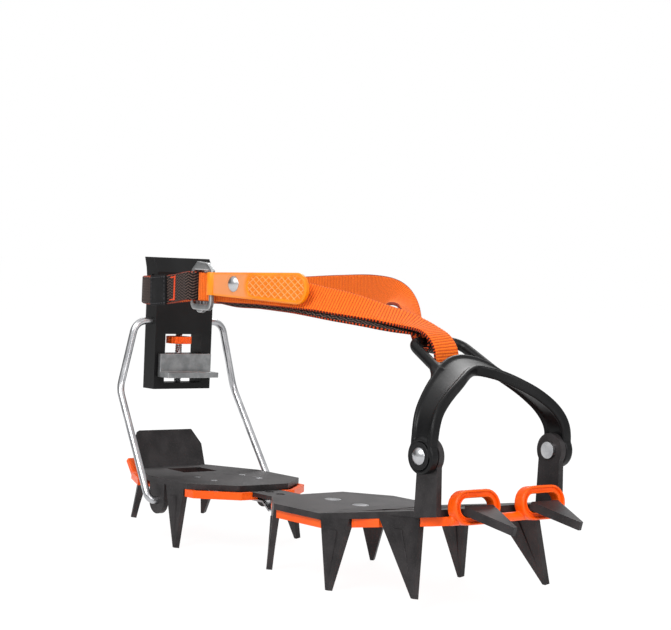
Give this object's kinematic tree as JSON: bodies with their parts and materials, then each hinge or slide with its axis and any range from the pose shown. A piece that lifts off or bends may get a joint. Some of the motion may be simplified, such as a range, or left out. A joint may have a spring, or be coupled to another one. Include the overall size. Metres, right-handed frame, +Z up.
{
  "type": "crampon",
  "caption": "Semi-automatic steel crampon with a flexible toe basket, a sprung heel lever, an adjustable linking bar and an ankle strap, for walking on ice.",
  "frame": {"origin": "middle of the bounding box on the ground, under the arch of the foot", "axes": "+X to the toe, +Y to the wearer's left, +Z up"},
  "size_m": [0.3134, 0.0971, 0.153],
  "materials": {
    "steel": "dark grey coating on steel, semi-matt",
    "orange_plastic": "satin moulded plastic",
    "black_plastic": "satin moulded plastic",
    "bright_steel": "bright stainless steel",
    "webbing": "ribbed webbing, orange on one face and black on the other",
    "label": "woven tag",
    "amber_plastic": "translucent flexible plastic"
  },
  "bodies": {
    "front": {"front_frame": "steel", "front_antiball": "orange_plastic", "linking_bar": "steel", "bar_screws": "bright_steel", "bar_nuts": "bright_steel", "basket_rivets": "bright_steel", "basket_washers": "black_plastic"},
    "basket": {"toe_basket": "black_plastic"},
    "rear": {"rear_frame": "steel", "rear_antiball": "orange_plastic", "bar_guide": "steel", "guide_rivets": "bright_steel", "latch_rivet": "bright_steel", "ankle_strap": "webbing", "strap_label": "label", "ring_inner": "bright_steel"},
    "latch": {"length_latch": "bright_steel"},
    "bail": {"heel_bail": "bright_steel"},
    "lever": {"heel_lever": "black_plastic"},
    "claw": {"heel_claw": "bright_steel"},
    "adjuster": {"adjuster_screw": "bright_steel", "thumbwheel": "orange_plastic"},
    "outer_ring": {"ring_outer": "bright_steel"},
    "tab": {"release_tab": "amber_plastic", "tab_rivet": "bright_steel"}
  },
  "joints": [
    {"name": "basket_hinge", "type": "hinge", "parent": "front", "child": "basket", "pos_m": [0.1186, 0, 0.0705], "axis": [0, 1, 0], "range_deg": [-15, 70], "deforming": ["ankle_strap"]},
    {"name": "length_slide", "type": "slide", "parent": "front", "child": "rear", "axis": [1, 0, 0], "range_m": [-0.02, 0.02], "deforming": ["ankle_strap", "length_latch"]},
    {"name": "latch_press", "type": "hinge", "parent": "rear", "child": "latch", "pos_m": [-0.077, 0, 0.0267], "axis": [0, 1, 0], "range_deg": [0, 14], "stiffness_Nm_per_rad": 1.2, "deforming": ["length_latch"]},
    {"name": "bail_hinge", "type": "hinge", "parent": "rear", "child": "bail", "pos_m": [-0.102, 0, 0.022], "axis": [0, 1, 0], "range_deg": [-20, 70], "deforming": ["ankle_strap"]},
    {"name": "lever_hinge", "type": "hinge", "parent": "bail", "child": "lever", "pos_m": [-0.142, 0, 0.117], "axis": [0, 1, 0], "range_deg": [-100, 0], "deforming": ["ankle_strap"]},
    {"name": "adjuster_turn", "type": "hinge", "parent": "lever", "child": "adjuster", "pos_m": [-0.142, 0, 0.1065], "axis": [0, 0, 1], "range_deg": [-1728.5, 1152.5]},
    {"name": "claw_slide", "type": "slide", "parent": "lever", "child": "claw", "axis": [0, 0, 1], "range_m": [-0.006, 0.004]},
    {"name": "ring_release", "type": "hinge", "parent": "rear", "child": "outer_ring", "pos_m": [-0.0615, -0.0454, 0.139], "axis": [0, 0, -1], "range_deg": [0, 30]},
    {"name": "tab_lift", "type": "hinge", "parent": "outer_ring", "child": "tab", "pos_m": [-0.04213, -0.04761, 0.1408], "axis": [0, 0, -1], "range_deg": [0, 60]}
  ],
  "couplings": [
    {"joint": "adjuster_turn", "follows": "claw_slide", "rad_per_m": 5026.6}
  ]
}
